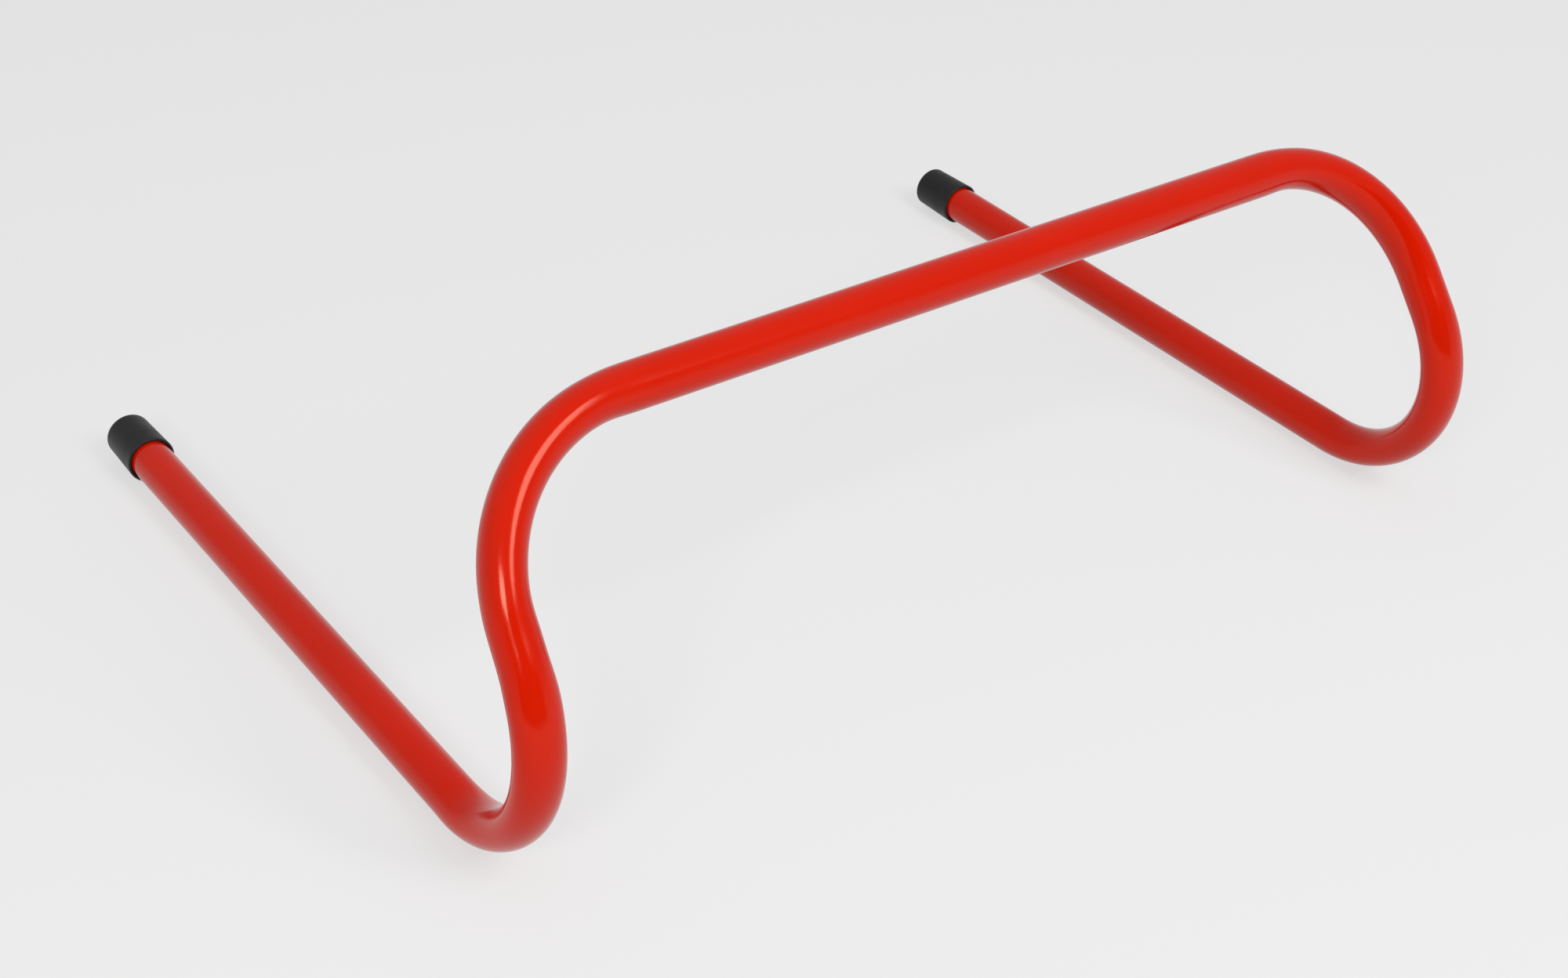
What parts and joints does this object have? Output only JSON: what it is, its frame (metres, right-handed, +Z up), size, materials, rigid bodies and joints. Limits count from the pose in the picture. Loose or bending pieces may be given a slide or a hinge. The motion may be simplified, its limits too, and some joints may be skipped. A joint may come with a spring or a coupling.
{
  "type": "speed hurdle",
  "caption": "Low agility hurdle bent from round plastic tube: a straight crossbar on leaning uprights that turn into long floor feet closed by push-on caps.",
  "frame": {"origin": "on the floor, under the middle of the hurdle's box", "axes": "+X along the crossbar, +Y from the front bends back along the feet to the caps, +Z up"},
  "size_m": [0.4362, 0.3254, 0.1529],
  "materials": {
    "tube_plastic": "gloss",
    "cap_rubber": "satin"
  },
  "bodies": {
    "tube": {"bent_tube": "tube_plastic"},
    "left_cap": {"left_end_cap": "cap_rubber"},
    "right_cap": {"right_end_cap": "cap_rubber"}
  },
  "joints": [
    {"name": "left_cap_pull", "type": "slide", "parent": "tube", "child": "left_cap", "axis": [0, 1, 0.0057], "range_m": [0, 0.03]},
    {"name": "right_cap_pull", "type": "slide", "parent": "tube", "child": "right_cap", "axis": [0, 1, 0.0057], "range_m": [0, 0.03]}
  ]
}
